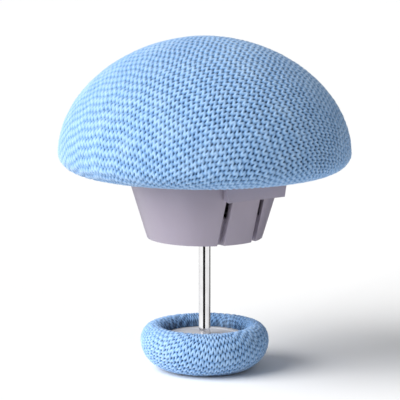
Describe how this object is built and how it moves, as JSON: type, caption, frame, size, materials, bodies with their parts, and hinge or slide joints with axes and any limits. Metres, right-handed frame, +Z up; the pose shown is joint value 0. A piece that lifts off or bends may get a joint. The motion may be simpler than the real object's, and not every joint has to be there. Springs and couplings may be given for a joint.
{
  "type": "quilt clip",
  "caption": "Mushroom-shaped quilt clip: a knit-covered padded head with a sprung slide lock in its conical collar grips a steel pin standing in a small knit-covered base.",
  "frame": {"origin": "bottom centre of the base, on the pin's axis, at the height of the flat that the clip stands on", "axes": "+Z up along the pin from the base to the crown of the head; the viewer's side is -Y, and the thumb slide is turned from -Y towards +X"},
  "size_m": [0.04, 0.04, 0.0459],
  "materials": {
    "knit": "knitted, matt",
    "thread": "twisted thread, matt",
    "foam": "open-cell foam, matt",
    "collar_plastic": "fine satin moulding",
    "shell_plastic": "moulded, matt",
    "plate_plastic": "satin moulding",
    "guard_plastic": "moulded, matt",
    "carrier_plastic": "moulded, matt",
    "polished_steel": "polished",
    "zinc_screw": "zinc plated",
    "spring_steel": "drawn wire",
    "bush_brass": "turned",
    "lock_steel": "hardened, ground"
  },
  "bodies": {
    "base": {"base_cover": "knit", "base_thread": "thread", "base_foam": "foam", "base_dish": "shell_plastic", "base_plate": "plate_plastic", "thrust_washer": "guard_plastic"},
    "pin": {"pin": "polished_steel"},
    "head": {"head_cover": "knit", "head_thread": "thread", "head_foam": "foam", "head_shell": "shell_plastic", "under_plate": "shell_plastic", "pin_sheath": "guard_plastic", "collar": "collar_plastic", "collar_screws": "zinc_screw", "lower_bush": "bush_brass", "upper_bush": "bush_brass", "lock_carrier": "carrier_plastic", "carrier_screws": "zinc_screw", "lock_pivot": "polished_steel", "lock_spring": "spring_steel", "slide_spring": "spring_steel"},
    "slide": {"thumb_slide": "collar_plastic", "slide_keeper": "carrier_plastic"},
    "lock": {"lock_plate": "lock_steel"}
  },
  "joints": [
    {"name": "swivel", "type": "hinge", "parent": "base", "child": "pin", "pos_m": [0, 0, 0], "axis": [0, 0, 1], "continuous": true},
    {"name": "clamp", "type": "slide", "parent": "pin", "child": "head", "axis": [0, 0, 1], "range_m": [-0.0118, 0.008]},
    {"name": "thumb", "type": "slide", "parent": "head", "child": "slide", "axis": [-0.1714, 0.236, -0.9565], "range_m": [0, 0.0025], "stiffness_N_per_m": 20, "springref_m": -0.002, "deforming": ["slide_spring"]},
    {"name": "lock_tilt", "type": "hinge", "parent": "head", "child": "lock", "pos_m": [0.002, -0.00275, 0.0272], "axis": [0.809, 0.5878, 0], "range_deg": [0, 12], "deforming": ["lock_spring"]}
  ],
  "couplings": [
    {"joint": "lock_tilt", "follows": "thumb", "rad_per_m": 83.775}
  ]
}
